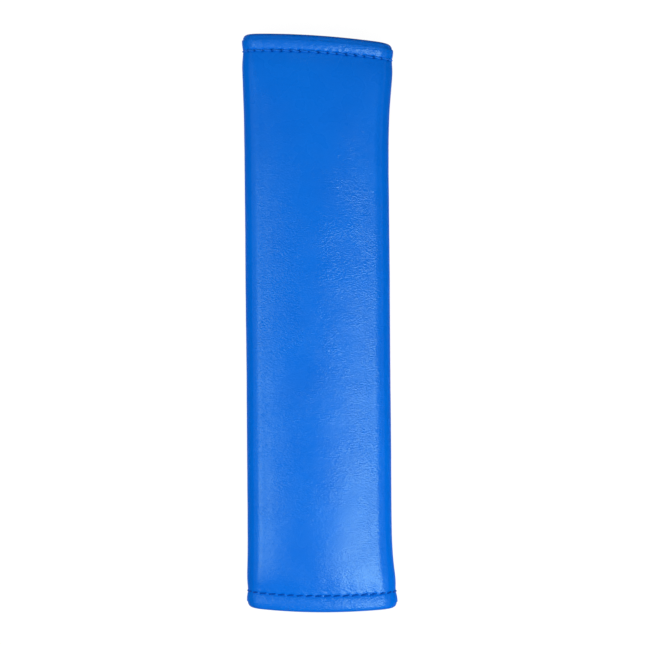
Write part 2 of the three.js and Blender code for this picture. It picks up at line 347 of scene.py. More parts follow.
def seam_relief(walked, across, seam, seed):
    """How deep a seam presses the leather in, at a distance along it and across it.

    Every needle hole is a pit in a shallow groove, and the leather puckers up between the holes."""
    turn = (walked - SEAM_END) / SEAM_PITCH
    kept = 1 - seam["fade"] * bell(to_hole(walked), FADE_REACH)
    groove = GROOVE_DEPTH * bell(across, GROOVE_REACH) * kept
    hole = seam["pit"] * pits(walked, across)
    force = 1 + PUCKER_SPREAD * waves(walked, across * 0, PUCKER_WAVE, seed)
    reach = np.where(across > 0, FIELD_PUCKER_REACH, HEM_PUCKER_REACH)
    lean = PUCKER_SLANT * across / reach + LEAN_SPREAD * waves(walked, across, LEAN_WAVE, seed + 1)
    pucker = PUCKER * force * np.cos(2 * math.pi * (turn + lean)) * np.exp(-np.abs(across) / reach)
    return groove + hole + pucker


def off_fold(place):
    """How freely a seam dents the leather: fully on the flat faces, hardly at all round a fold."""
    return 1 - FOLD_TENSION * (bell(place - 2.5, FOLD_REACH) + bell(place - 4.5, FOLD_REACH))


def field_dip(share, inset):
    """The seam's wider pull on the padded field and on the whole hem."""
    return FIELD_DIP * share * np.where(inset > SEAM_INSET, bell(inset - SEAM_INSET, FIELD_REACH), 1)


def cover_back_depth(share, inset):
    """The leather's back, which stands out under a seam of the padded part."""
    emboss = EMBOSS * share * bell(inset - SEAM_INSET, EMBOSS_REACH)
    return cover_depth(share, inset) + LEATHER + field_dip(share, inset) + emboss


def cover_relief(walked, y, share, place):
    """How deep the leather's outer face lies under its plain form."""
    inset = HALF_LENGTH - np.abs(y)
    across = inset - SEAM_INSET
    top = seam_relief(walked, across, TOP_SEAM, 50)
    bottom = seam_relief(walked, across, BOTTOM_SEAM, 40)
    seams = np.where(y > 0, top, bottom)
    puff, crinkle = [np.where(y > 0, TOP_SEAM[key], BOTTOM_SEAM[key]) for key in ("puff", "crinkle")]
    crinkle = crinkle * waves(walked, across, CRINKLE_WAVE, 64)
    seams = seams + crinkle * bell(across - CRINKLE_MIDDLE, CRINKLE_REACH)
    drags = DRAG * waves(walked, y * DRAG_STRETCH, DRAG_WAVE, 61) * bell(across, DRAG_REACH)
    swells = SWELL * waves(walked, y * SWELL_STRETCH, SWELL_WAVE, 62)
    swells = swells + RIPPLE * waves(walked, y, RIPPLE_WAVE, 63)
    field = smooth(np.clip(across / SWELL_START, 0, 1))
    x = np.abs(outer_face(place, y)[0])
    on_flap = (place >= STRETCHES - 1) * (across > TAPE_ROW_START)
    rows = GROOVE_DEPTH * bell(x - TAPE_ROW_X, GROOVE_REACH) * on_flap
    dents = (seams + field_dip(share, inset)) * off_fold(place)
    puff = puff * np.sin(math.pi * np.clip(inset / SEAM_INSET, 0, 1)) ** 2
    folds = FOLD_SWELL * (1 - off_fold(place)) / FOLD_TENSION
    relief = dents + (drags + swells * field) * share + rows - puff * share * off_fold(place) - folds
    lie = cover_depth(share, inset)
    pressed = np.minimum(lie + relief, cover_back_depth(share, inset) - LEAST_WEB)
    return above_floor(place, y, pressed) - lie


def add_mesh(name, points, faces, sheet, material):
    """A mesh object from points in millimetres. sheet gives each point's place on its flat sheet."""
    mesh = bpy.data.meshes.new(name)
    placed = np.asarray(points, float) * MM + MIDDLE
    mesh.from_pydata(placed.tolist(), [], faces.tolist() if hasattr(faces, "tolist") else faces)
    flat = mesh.attributes.new("sheet", "FLOAT_VECTOR", "POINT")
    flat.data.foreach_set("vector", np.asarray(sheet, np.float32).ravel())
    mesh.polygons.foreach_set("use_smooth", [True] * len(mesh.polygons))
    mesh.materials.append(material)
    mesh.update()
    piece = bpy.data.objects.new(name, mesh)
    bpy.context.scene.collection.objects.link(piece)
    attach(piece, "root")
    return piece


def loft(rings, flat_ring):
    """Faces of a closed solid through rings of points, capped at both ends and all turned outwards."""
    count, around = rings.shape[:2]
    a = np.arange(count - 1)[:, None] * around + np.arange(around)[None, :]
    b = np.arange(count - 1)[:, None] * around + (np.arange(around)[None, :] + 1) % around
    sides = np.stack([a, b, b + around, a + around], -1).reshape(-1, 4)
    contour = [Vector((p[0], p[1], 0)) for p in flat_ring]
    cap = np.array(geometry.tessellate_polygon([contour]))
    caps = np.concatenate([cap[:, ::-1], cap + (count - 1) * around])
    corners = rings.reshape(-1, 3)[np.concatenate([sides[:, :3], sides[:, [0, 2, 3]], caps])]
    six_volumes = np.einsum("ij,ij", corners[:, 0], np.cross(corners[:, 1], corners[:, 2]))
    faces = sides.tolist() + caps.tolist()
    return [face[::-1] for face in faces] if six_volumes < 0 else faces


def mirrored(rows):
    """Half a profile, rows of (y, depth, sheet place) at the top end, continued at the bottom end."""
    bottom = [(-y, depth, -flat) for y, depth, flat in rows[1:-1]]
    return rows + bottom[::-1]


def with_sheet_place(half):
    """Rows of (inset, depth) as rows of (y, depth, distance walked along the sheet from its middle)."""
    rows = []
    flat = 0.0
    before = half[0]
    for inset, depth in half:
        flat = flat + np.hypot(inset - before[0], depth - before[1])
        rows.append((HALF_LENGTH - inset, depth, flat))
        before = (inset, depth)
    return rows


def wrap_piece(name, walked, half, relief, material):
    """A closed piece of the wrap, and the number of rows round its profile.

    half is half of the profile, in rows of (inset, depth) over the places. relief(y) gives the depths
    that are added to it, and None adds nothing."""
    places = place_at(walked)
    rows = mirrored(with_sheet_place(half))
    y = np.stack([row[0] for row in rows], 1)
    depth = np.stack([row[1] for row in rows], 1)
    flat = np.stack([row[2] for row in rows], 1)
    ring = list(zip(y[0].tolist(), depth[0].tolist()))
    if relief is not None:
        depth = depth + relief(y)
    points = wrapped(places[:, None], y, depth)
    sheet = np.stack([np.broadcast_to(walked[:, None], y.shape), flat, np.zeros_like(y)], -1)
    faces = loft(points, ring)
    return add_mesh(name, points.reshape(-1, 3), faces, sheet.reshape(-1, 3), material), len(rows)


def spread(low, high, step):
    """Even steps from low to high, about a step apart, without high itself."""
    count = max(1, round(abs(high - low) / step))
    return np.linspace(low, high, count, endpoint=False)


# Insets of mesh rows on faces that don't show
HIDDEN_SEAM_ROWS = [4.6, 5.8, SEAM_INSET, 7.8]
HIDDEN_FIELD_ROWS = [9.0, 11.0, 14.0, 19.0, *spread(27, HALF_LENGTH, 13), HALF_LENGTH]


def make_cover(leather, backing):
    """The leather: one web round the wrap with both its ends turned in."""
    edge = [0.0, 0.35, 0.75]
    turn = np.arange(SEAM_STITCHES * STEPS_PER_STITCH + 1) / STEPS_PER_STITCH
    inner = SEAM_END + SEAM_PITCH * (turn - 0.5 * np.sin(2 * math.pi * turn) / (2 * math.pi))
    walked = np.concatenate([edge, inner, [WRAP_LENGTH - e for e in reversed(edge)]])
    places = place_at(walked)
    share = foam_share(places)
    none = np.zeros_like(share)
    top = cover_depth(share, 0) + FIELD_DIP * share
    turned = turn_in_depth(share, 0) + LEATHER
    roll = (turned - top) / 2
    off_seam = SEAM_SPAN * (np.arange(11) / 10) ** 1.6
    by_seam = [*(SEAM_INSET + off_seam[::-1]), *(SEAM_INSET - off_seam[1:-1])]
    outer = [*spread(HALF_LENGTH, 16, 2.9), *spread(16, SEAM_INSET + SEAM_SPAN, 0.8), *by_seam]
    rows = [(none + inset, cover_depth(share, inset), "outer") for inset in outer]
    for t in spread(0, 1, 0.25):
        inset = mix(SEAM_INSET - SEAM_SPAN, roll, t)
        rows.append((inset, cover_depth(share, inset), "outer"))
    for angle in np.linspace(0, math.pi, ROLL_STEPS + 1):
        rows.append((roll - roll * math.sin(angle), top + roll - roll * math.cos(angle), "roll"))
    for t in [*spread(0.12, 1, 0.075), 1.0]:
        inset = mix(roll, HEM_WIDTH, t)
        rows.append((inset, turn_in_depth(share, inset) + LEATHER, "flap"))
    for t in (1.0, 0.72, 0.5, 0.25):
        inset = mix(roll, HEM_WIDTH, t)
        rows.append((inset, turn_in_depth(share, inset), "back"))
    small = roll - LEATHER
    for angle in np.linspace(math.pi, 0, 7):
        rows.append((roll - small * math.sin(angle), top + roll - small * math.cos(angle), "back"))
    by_emboss = sorted([*HIDDEN_SEAM_ROWS, 6.4, 7.2])
    for inset in by_emboss + HIDDEN_FIELD_ROWS:
        rows.append((none + inset, cover_back_depth(share, inset), "back"))

    kinds = [row[2] for row in rows]
    kinds = kinds + kinds[1:-1][::-1]

    def relief(y):
        pressed = np.zeros_like(y)
        for i, kind in enumerate(kinds):
            if kind == "outer":
                pressed[:, i] = cover_relief(walked, y[:, i], share, places)
            if kind == "flap":
                across = HALF_LENGTH - np.abs(y[:, i]) - SEAM_INSET
                pressed[:, i] = -TURN_IN_SHARE * seam_relief(walked, across, BOTTOM_SEAM, 70)
        return pressed

    cover, around = wrap_piece("cover", walked, [row[:2] for row in rows], relief, leather)
    mesh = cover.data
    # Each point's share of a needle hole's pit. It sets the painted shade that darkens the leather's
    # colour in the pits.
    pit_shade_share = np.zeros((len(walked), around))
    for i, (inset, _, kind) in enumerate(rows):
        if kind == "outer":
            pit_shade_share[:, i] = pits(walked, inset - SEAM_INSET)
    pit_shade_attribute = mesh.attributes.new("pit", "FLOAT", "POINT")
    pit_shade_attribute.data.foreach_set("value", pit_shade_share.astype(np.float32).ravel())
    mesh.materials.append(backing)
    hidden = [kinds[j] == "back" or kinds[(j + 1) % around] == "back" for j in range(around)]
    sides = (len(walked) - 1) * around
    index = [1 if i >= sides or hidden[i % around] else 0 for i in range(len(mesh.polygons))]
    mesh.polygons.foreach_set("material_index", index)
    mesh.set_sharp_from_angle(angle=math.radians(50))
    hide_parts("leather_cover")
    return cover


def make_foam(material):
    """The foam core, from one flap's taper round to the other's."""
    walked = np.linspace(0, WRAP_LENGTH, FOAM_STEPS)
    walked = walked[foam_share(place_at(walked)) >= LEAST_FOAM]
    share = foam_share(place_at(walked))
    none = np.zeros_like(share)
    insets = [FOAM_INSET, *HIDDEN_SEAM_ROWS, *HIDDEN_FIELD_ROWS]
    half = []
    inner = [lining_face_depth(share, inset) - LINING - LAYER_GAP for inset in insets]
    for inset, deep in zip(reversed(insets), reversed(inner)):
        outer = np.minimum(cover_back_depth(share, inset) + LAYER_GAP, deep - LEAST_CORE)
        half.append((none + inset, outer))
    half += [(none + inset, deep) for inset, deep in zip(insets, inner)]
    foam, _ = wrap_piece("foam", walked, half, None, material)
    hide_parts("foam_core")


def make_lining(material):
    """The knitted lining that faces the belt, caught under the turned-in leather at both ends."""
    walked = np.linspace(0, WRAP_LENGTH, LINING_STEPS)
    share = foam_share(place_at(walked))
    none = np.zeros_like(share)
    insets = [LINING_INSET, *HIDDEN_SEAM_ROWS, HEM_WIDTH, *spread(11, HALF_LENGTH, 3.5), HALF_LENGTH]
    half = [(none + inset, lining_face_depth(share, inset) - LINING) for inset in reversed(insets)]
    half += [(none + inset, lining_face_depth(share, inset)) for inset in insets]

    def relief(y):
        free = smooth(np.clip((HALF_LENGTH - np.abs(y) - HEM_WIDTH) / LINING_START, 0, 1))
        uneven = waves(walked[:, None] + 0 * y, y, LINING_WAVE, 80)
        return LINING_SLACK * (1 + uneven / 2) * free * (share[:, None] > 0.5)

    lining, _ = wrap_piece("lining_knit", walked, half, relief, material)
    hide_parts("lining")


# Threads: two plies twisted together
PLY_RELIEF = 0.17
PLY_TWIST = 1.25  # length of a full twist
THREAD_SIDES = 10
RINGS_PER_STITCH = 26
THREAD_SLANT = 0.28  # how far a stitch's ends stand to either side of the seam
THREAD_LIFT = 0.42 * THREAD_WIDTH  # how far a thread's middle stands off its groove
STITCH_FLAT = 0.95  # how far from its middle a stitch lies flat
STITCH_DROP = 1.15  # how deep a thread goes down its needle hole
FLOOR_CLEARANCE = 0.6 * THREAD_WIDTH  # from a thread's middle to the surface that the pad lies on
TAPE_THREAD_LIFT = 0.3 * THREAD_WIDTH  # on the tapes, where a seam also goes down less
TAPE_DROP_SHARE = 0.6
OUTER_ROW_Z = 0.9 * THREAD_WIDTH  # the face in the outer flap's groove that its thread lies on


def stitch_path(count, pitch, start, surface):
    """The middle line of a row of lockstitches. surface(walked, across, depth) gives points.

    Each stitch lies along its groove and dives into the needle holes at its two ends."""
    turn = np.linspace(-math.pi / 2, math.pi / 2, RINGS_PER_STITCH)
    lie = np.sign(np.sin(turn)) * np.abs(np.sin(turn)) ** 0.9
    off_middle = (pitch / 2 - 0.1) * lie
    bent = (np.abs(off_middle) - STITCH_FLAT) / (pitch / 2 - STITCH_FLAT)
    dive = STITCH_DROP * smooth(np.clip(bent, 0, 1))
    steps = np.arange(count)[:, None]
    walked = start + (steps + 0.5) * pitch + off_middle[None, :]
    across = THREAD_SLANT * np.sin(turn)[None, :] + 0 * walked
    return surface(walked.ravel(), across.ravel(), np.tile(dive, count))


def thread_tube(path, sideways):
    """Ring points and sheet places of a two-ply thread along a path. sideways is across the seam."""
    tangent = np.gradient(path, axis=0)
    tangent /= np.linalg.norm(tangent, axis=1)[:, None]
    sideways = np.asarray(sideways, float)
    side = sideways - tangent * (tangent @ sideways)[:, None]
    side /= np.linalg.norm(side, axis=1)[:, None]
    up = np.cross(side, tangent)
    walked = np.concatenate([[0], np.cumsum(np.linalg.norm(np.diff(path, axis=0), axis=1))])
    angle = np.arange(THREAD_SIDES) * 2 * math.pi / THREAD_SIDES
    ply = 2 * (angle[None, :] - 2 * math.pi * walked[:, None] / PLY_TWIST)
    radius = THREAD_WIDTH / 2 * (1 + PLY_RELIEF * np.cos(ply))
    out = np.cos(angle)[None, :, None] * up[:, None] + np.sin(angle)[None, :, None] * side[:, None]
    sheet = np.stack([
        np.broadcast_to(walked[:, None], radius.shape),
        np.broadcast_to(angle[None, :], radius.shape) * THREAD_WIDTH / 2,
        np.zeros_like(radius),
    ], -1)
    return path[:, None] + radius[..., None] * out, sheet


def make_thread(name, node, paths, sideways, material):
    """One piece of thread for a seam's two faces."""
    points, sheets, faces = [], [], []
    base = 0
    flat_ring = [(math.cos(a), math.sin(a)) for a in np.arange(THREAD_SIDES) * 2 * math.pi / THREAD_SIDES]
    for path in paths:
        rings, sheet = thread_tube(path, sideways)
        faces += [[base + i for i in face] for face in loft(rings, flat_ring)]
        points.append(rings.reshape(-1, 3))
        sheets.append(sheet.reshape(-1, 3))
        base += len(points[-1])
    piece = add_mesh(name, np.concatenate(points), faces, np.concatenate(sheets), material)
    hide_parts(node)
    return piece


def make_hem_thread(name, node, side, material):
    """The seam round one end: needle thread outside and bobbin thread on the turned-in leather."""
    def outside(walked, across, dive):
        place = place_at(walked)
        share = foam_share(place)
        dent = (field_dip(share, SEAM_INSET) + GROOVE_DEPTH) * off_fold(place)
        y = side * (SEAM_Y - across)
        depth = cover_depth(share, SEAM_INSET) + dent - THREAD_LIFT + dive
        return wrapped(place, y, above_floor(place, y, depth, FLOOR_CLEARANCE))

    def inside(walked, across, dive):
        place = place_at(walked)
        face = turn_in_depth(foam_share(place), SEAM_INSET) + LEATHER
        lie = face - TURN_IN_SHARE * GROOVE_DEPTH + THREAD_LIFT
        return wrapped(place, side * (SEAM_Y - across), lie - dive)

    paths = [stitch_path(SEAM_STITCHES, SEAM_PITCH, SEAM_END, face) for face in (outside, inside)]
    return make_thread(name, node, paths, (0, side, 0), material)


def make_tape_thread(name, node, x, faces, material):
    """A straight seam along a tape. faces are (z, way out) of the two faces that its threads lie on."""
    start = SEAM_Y - (TAPE_END_INSET - SEAM_INSET) - SEAM_END
    count = round(2 * start / STITCH)
    paths = []
    for z, out in faces:
        def on_face(walked, across, dive, z=z, out=out):
            height = z + out * (TAPE_THREAD_LIFT - TAPE_DROP_SHARE * dive)
            return np.stack([x + across, start - walked, height], -1)
        paths.append(stitch_path(count, 2 * start / count, 0.0, on_face))
    make_thread(name, node, paths, (1, 0, 0), material)


# The closure tapes' sides, weave and pile
TAPE_ROUND = 0.15
WEAVE_RELIEF = 0.02
WEFT_PITCH = 1.1
WARP_PITCH = 1.6
LOOP_COUNT = 2600
LOOP_WIRE = 0.045
LOOP_SPANS = (0.22, 0.42)
LOOP_RISES = (0.34, 0.52)
HOOK_WIRE = 0.09
HOOK_ROW = 1.5
HOOK_GAP = 1.1
HOOK_CURL = 0.17
HOOK_STEM = 0.32  # how high a hook's curl starts
HOOK_STEM_POINT = 0.15  # how high its stem's middle point is
WIRE_ROOT = -0.03  # how far the wires go down into the weave


def tape_base(width, length, height):
    """A woven strip lying on z 0, with rounded sides, as points, sheet places and faces."""
    rows = np.linspace(-length / 2, length / 2, TAPE_ROWS)
    half = width / 2
    flat = np.linspace(-half + TAPE_ROUND, half - TAPE_ROUND, TAPE_COLUMNS)
    under = [(x, 0.0) for x in flat]
    over = [(x, height) for x in flat[::-1]]
    ring = np.array([*under, (half, height / 2), *over, (-half, height / 2)])
    wefts = np.cos(2 * math.pi * rows / WEFT_PITCH)[:, None]
    warps = np.cos(2 * math.pi * ring[:, 0] / WARP_PITCH)[None, :]
    weave = WEAVE_RELIEF * wefts * warps
    top = (ring[:, 1] > height * 0.9)[None, :]
    points = np.stack([
        np.broadcast_to(ring[:, 0], (len(rows), len(ring))),
        np.broadcast_to(rows[:, None], (len(rows), len(ring))),
        ring[None, :, 1] + weave * top,
    ], -1)
    return points, points.copy(), loft(points, ring)


def wires(centres, radius, sides=4):
    """Closed wires along many alike centre lines, given as (wires, points, 3)."""
    tangent = np.gradient(centres, axis=1)
    tangent /= np.linalg.norm(tangent, axis=2)[..., None]
    bend = centres[:, :1] - 2 * centres[:, centres.shape[1] // 2][:, None] + centres[:, -1:]
    side = np.cross(tangent, np.broadcast_to(bend, tangent.shape))
    side /= np.linalg.norm(side, axis=2)[..., None]
    up = np.cross(side, tangent)
    angle = np.arange(sides) * 2 * math.pi / sides
    ring = np.cos(angle)[:, None] * up[:, :, None] + np.sin(angle)[:, None] * side[:, :, None]
    points = centres[:, :, None] + radius * ring
    one = loft(points[0], [(math.cos(a), math.sin(a)) for a in angle])
    size = centres.shape[1] * sides
    faces = [[k * size + i for i in face] for k in range(len(centres)) for face in one]
    return points.reshape(-1, 3), faces


def loop_lines(field, length):
    """Centre lines of the loops: small arches at random places and turns."""
    random = np.random.default_rng(7)
    at_x = random.uniform(-field, field, LOOP_COUNT)[:, None]
    at_y = random.uniform(-length, length, LOOP_COUNT)[:, None]
    turn = random.uniform(0, 2 * math.pi, LOOP_COUNT)
    span = random.uniform(*LOOP_SPANS, LOOP_COUNT)
    rise = random.uniform(*LOOP_RISES, LOOP_COUNT)
    angle = np.linspace(0, math.pi, 7)
    along = span[:, None] * np.cos(angle)[None, :]
    x = at_x + along * np.cos(turn)[:, None]
    y = at_y + along * np.sin(turn)[:, None]
    return np.stack([x, y, rise[:, None] * np.sin(angle)[None, :] + WIRE_ROOT], -1)


def hook_lines(field, length):
    """Centre lines of the hooks: straight rows of stems that curl over, every other row the other way."""
    columns = np.arange(-field + 0.4, field - 0.2, HOOK_GAP)
    rows = np.arange(-length + 0.6, length - 0.4, HOOK_ROW)
    x, y = [grid.ravel() for grid in np.meshgrid(columns, rows)]
    way = np.where(np.round(y / HOOK_ROW) % 2 == 0, 1.0, -1.0)
    angle = np.linspace(0, 1.25 * math.pi, 7)
    reach = np.concatenate([[0, 0], HOOK_CURL - HOOK_CURL * np.cos(angle)])
    rise = np.concatenate([[WIRE_ROOT, HOOK_STEM_POINT], HOOK_STEM + HOOK_CURL * np.sin(angle)])
    return np.stack([
        np.broadcast_to(x[:, None], (len(x), len(reach))),
        y[:, None] + way[:, None] * reach[None, :],
        np.broadcast_to(rise[None, :], (len(x), len(rise))),
    ], -1)


def make_tape(name, node, z, up, lines, wire, material):
    """A closure tape: its woven base and the hooks or loops that stand on it. up is 1 or -1."""
    length = PAD_LENGTH - 2 * TAPE_END_INSET
    base, sheet, faces = tape_base(TAPE_WIDTH, length, TAPE_BASE)
    base, sheet = base.reshape(-1, 3), sheet.reshape(-1, 3)
    field = TAPE_WIDTH / 2 - SELVEDGE
    pile, pile_faces = wires(lines(field, length / 2) + [0, 0, TAPE_BASE], wire)
    points = np.concatenate([base, pile])
    faces = faces + [[len(base) + i for i in face] for face in pile_faces]
    turned = points * [up, 1, up] + [0, 0, z]
    piece = add_mesh(name, turned, faces, np.concatenate([sheet, pile]), material)
    piece.data.set_sharp_from_angle(angle=math.radians(50))
    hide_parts(node)


# Materials. Their patterns lie on the flat sheet: the sheet attribute gives a point's place on it in mm.
def new_material(name):
    made = bpy.data.materials.new(name)
    made.use_nodes = True
    return made, made.node_tree, made.node_tree.nodes["Principled BSDF"]


def add_node(tree, kind, sockets=(), **settings):
    """A shader node with its settings, and with its sockets linked or set, by name or number."""
    made = tree.nodes.new("ShaderNode" + kind)
    for key, value in settings.items():
        setattr(made, key, value)
    for key, value in dict(sockets).items():
        if isinstance(value, bpy.types.NodeSocket):
            tree.links.new(value, made.inputs[key])
        else:
            made.inputs[key].default_value = value
    return made


def sheet_place(tree, scale=(1.0, 1.0, 1.0)):
    """The place on the sheet in millimetres, scaled."""
    flat = add_node(tree, "Attribute", attribute_name="sheet", attribute_type="GEOMETRY")
    return add_node(tree, "Mapping", {"Vector": flat.outputs["Vector"], "Scale": scale}).outputs[0]


def noise(tree, place, scale, detail=2.0, roughness=0.5, distortion=0.0):
    return add_node(tree, "TexNoise", {
        "Vector": place, "Scale": scale,
        "Detail": detail, "Roughness": roughness, "Distortion": distortion,
    }).outputs["Fac"]


def ranged(tree, value, low, high, to_low=0.0, to_high=1.0):
    """value mapped from one range to another, and held within it."""
    return add_node(tree, "MapRange", {
        0: value, "From Min": low, "From Max": high, "To Min": to_low, "To Max": to_high,
    }).outputs[0]


def math_node(tree, operation, a, b):
    return add_node(tree, "Math", {0: a, 1: b}, operation=operation).outputs[0]


def blend_colours(tree, share, low, high):
    mixed = add_node(tree, "Mix", {0: share, 6: (*low, 1), 7: (*high, 1)}, data_type="RGBA")
    return mixed.outputs[2]


def bumped(tree, height, distance, normal=None):
    """A bump of this height in millimetres, on top of another."""
    sockets = {"Height": height, "Distance": distance * MM, "Strength": 1.0}
    if normal is not None:
        sockets["Normal"] = normal
    return add_node(tree, "Bump", sockets).outputs[0]


LEATHER_BLUE = (0.0, 0.139, 0.665)
LEATHER_DEEP = (0.0, 0.129, 0.635)
LEATHER_SHINE = (0.58, 1.0, 0.84)
# Painted shade: the deep blue that the leather's colour turns to in a needle hole's pit, where the hole
# lies in shade.
PIT_SHADE_BLUE = (0.0, 0.03, 0.2)  # inside a needle hole

# How high the leather's bumps are
CREASES = 0.04
WRINKLES = 0.13
GRAIN = 0.09
FINE_GRAIN = 0.008


def leather_material():
    """Coated leather: a satin skin with a fine grain, and fine wrinkles that run round the wrap."""
    made, tree, shader = new_material("blue_leather")
    place = sheet_place(tree)
    broad = noise(tree, place, 0.045, detail=1.0)
    blue = blend_colours(tree, ranged(tree, broad, 0.3, 0.7), LEATHER_DEEP, LEATHER_BLUE)
    # The needle holes' pits get painted shade: the base colour darkens there towards a deep blue.
    pit = add_node(tree, "Attribute", attribute_name="pit", attribute_type="GEOMETRY").outputs["Fac"]
    shade = ranged(tree, pit, 0.15, 0.75)
    shaded = add_node(tree, "Mix", {0: shade, 6: blue, 7: (*PIT_SHADE_BLUE, 1)}, data_type="RGBA")
    tree.links.new(shaded.outputs[2], shader.inputs["Base Color"])
    roughness = ranged(tree, noise(tree, place, 0.11), 0.3, 0.7, 0.25, 0.3)
    tree.links.new(roughness, shader.inputs["Roughness"])

    # The grain weakens in patches, on the front's left side and towards the seams, but not on the hems
    spots = ranged(tree, noise(tree, place, 0.05, detail=1.5), 0.38, 0.62, 0.5, 1.0)
    at = add_node(tree, "SeparateXYZ", {0: place})
    along = at.outputs["Y"]
    stretched = ranged(tree, at.outputs["X"], FRONT_MIDDLE - 22.0, FRONT_MIDDLE - 8.0, 0.8, 1.0)
    top = ranged(tree, along, 85.0, 40.0, 0.4, 1.0)
    bottom = ranged(tree, along, -85.0, -45.0, 0.7, 1.0)
    smooth_ends = math_node(tree, "MULTIPLY", top, bottom)
    hem = ranged(tree, math_node(tree, "ABSOLUTE", along, 0.0), SEAM_Y - 1.0, SEAM_Y + 1.0)
    field = math_node(tree, "MULTIPLY", math_node(tree, "MULTIPLY", spots, smooth_ends), stretched)
    patches = math_node(tree, "MAXIMUM", field, hem)
    long_place = sheet_place(tree, (0.16, 0.55, 1.0))
    long = noise(tree, long_place, 1.0, detail=2.0, roughness=0.4, distortion=0.6)
    creased = bumped(tree, math_node(tree, "MULTIPLY", long, patches), CREASES)
    short_place = sheet_place(tree, (0.9, 2.3, 1.0))
    short = noise(tree, short_place, 1.0, detail=2.0, roughness=0.5, distortion=0.4)
    wrinkled = bumped(tree, math_node(tree, "MULTIPLY", short, patches), WRINKLES, creased)
    cells = sheet_place(tree, (1.1, 2.2, 1.0))
    grain = add_node(tree, "TexVoronoi", {"Vector": cells, "Scale": 1.0, "Smoothness": 0.5},
                     feature="SMOOTH_F1").outputs["Distance"]
    grained = bumped(tree, math_node(tree, "MULTIPLY", grain, patches), GRAIN, wrinkled)
    fine = bumped(tree, noise(tree, place, 5.0, detail=2.0), FINE_GRAIN, grained)
    tree.links.new(fine, shader.inputs["Normal"])
    facing = add_node(tree, "LayerWeight", {"Blend": 0.5}).outputs["Facing"]
    tree.links.new(ranged(tree, facing, 0.08, 0.34, 0.5, 0.005), shader.inputs["Specular IOR Level"])
    shader.inputs["Specular Tint"].default_value = (*LEATHER_SHINE, 1.0)
    return made


def backing_material():
    """The knitted backing of the coated leather, seen at its cut edges."""
    made, tree, shader = new_material("leather_backing")
    place = sheet_place(tree)
    knit = add_node(tree, "TexWave", {
        "Vector": place, "Scale": 0.45, "Distortion": 1.2, "Detail Scale": 2.0,
    }).outputs["Fac"]
    blue = blend_colours(tree, knit, (0.05, 0.09, 0.22), (0.09, 0.15, 0.32))
    tree.links.new(blue, shader.inputs["Base Color"])
    tree.links.new(bumped(tree, knit, 0.06), shader.inputs["Normal"])
    shader.inputs["Roughness"].default_value = 0.9
    return made


def thread_material(name, low, high):
    """Twisted polyester thread: fine fibres that follow the plies."""
    made, tree, shader = new_material(name)
    fibres = noise(tree, sheet_place(tree, (1.4, 9.0, 1.0)), 2.0, detail=3.0)
    blue = blend_colours(tree, ranged(tree, fibres, 0.3, 0.7), low, high)
    tree.links.new(blue, shader.inputs["Base Color"])
    tree.links.new(bumped(tree, fibres, 0.03), shader.inputs["Normal"])
    shader.inputs["Roughness"].default_value = 0.5
    shader.inputs["Specular IOR Level"].default_value = 0.1
    shader.inputs["Specular Tint"].default_value = (*LEATHER_SHINE, 1.0)
    return made


def knit_material():
    """Black knitted lining: columns of small stitches."""
    made, tree, shader = new_material("black_knit")
    place = sheet_place(tree)
    columns = add_node(tree, "TexWave", {"Vector": place, "Scale": 0.32},
                       bands_direction="X").outputs["Fac"]
    courses = add_node(tree, "TexWave", {"Vector": place, "Scale": 0.42, "Distortion": 0.6},
                       bands_direction="Y").outputs["Fac"]
    height = math_node(tree, "MULTIPLY", columns, courses)
    tone = noise(tree, place, 0.7, detail=3.0)
    shade = math_node(tree, "MULTIPLY", height, ranged(tree, tone, 0.2, 0.8, 0.6, 1.0))
    black = blend_colours(tree, shade, (0.004, 0.004, 0.005), (0.022, 0.022, 0.026))
    tree.links.new(black, shader.inputs["Base Color"])
    tree.links.new(bumped(tree, height, 0.16), shader.inputs["Normal"])
    shader.inputs["Roughness"].default_value = 0.85
    shader.inputs["Sheen Weight"].default_value = 0.25
    return made


def foam_material():
    """Open-cell foam: small pits of several sizes."""
    made, tree, shader = new_material("grey_foam")
    place = sheet_place(tree)
    cells = add_node(tree, "TexVoronoi", {"Vector": place, "Scale": 1.1}).outputs["Distance"]
    height = ranged(tree, cells, 0.1, 0.6)
    grey = blend_colours(tree, height, (0.16, 0.165, 0.175), (0.36, 0.37, 0.39))
    tree.links.new(grey, shader.inputs["Base Color"])
    tree.links.new(bumped(tree, height, 0.25), shader.inputs["Normal"])
    shader.inputs["Roughness"].default_value = 0.95
    return made


def tape_material(name, roughness):
    """Black nylon: a woven ground and bristly pile, with a faint sheen."""
    made, tree, shader = new_material(name)
    fibres = noise(tree, sheet_place(tree), 3.0, detail=3.0)
    tone = ranged(tree, fibres, 0.3, 0.7)
    black = blend_colours(tree, tone, (0.004, 0.004, 0.005), (0.016, 0.016, 0.02))
    tree.links.new(black, shader.inputs["Base Color"])
    tree.links.new(bumped(tree, fibres, 0.05), shader.inputs["Normal"])
    shader.inputs["Roughness"].default_value = roughness
    return made


# The photograph's framing, in its own pixels
PHOTO_SIZE = 645
PHOTO_PAD_LENGTH = 577
PHOTO_PAD_MIDDLE = (319.9, 322.5)
PHOTO_TILT = -0.5  # degrees that the pad leans clockwise
CAMERA_HEIGHT = 1.25
SENSOR = 36.0

STUDIO_LIGHT = 0.07  # the dim light from all round
FLOOR_HALF = 4.0  # in metres
FLOOR_DROP = 0.1  # keeps the floor apart from the pad's flat back
FLOOR_GLOW = 1.14
FLOOR_LIFT = 0.85  # how much of the seen floor is glow


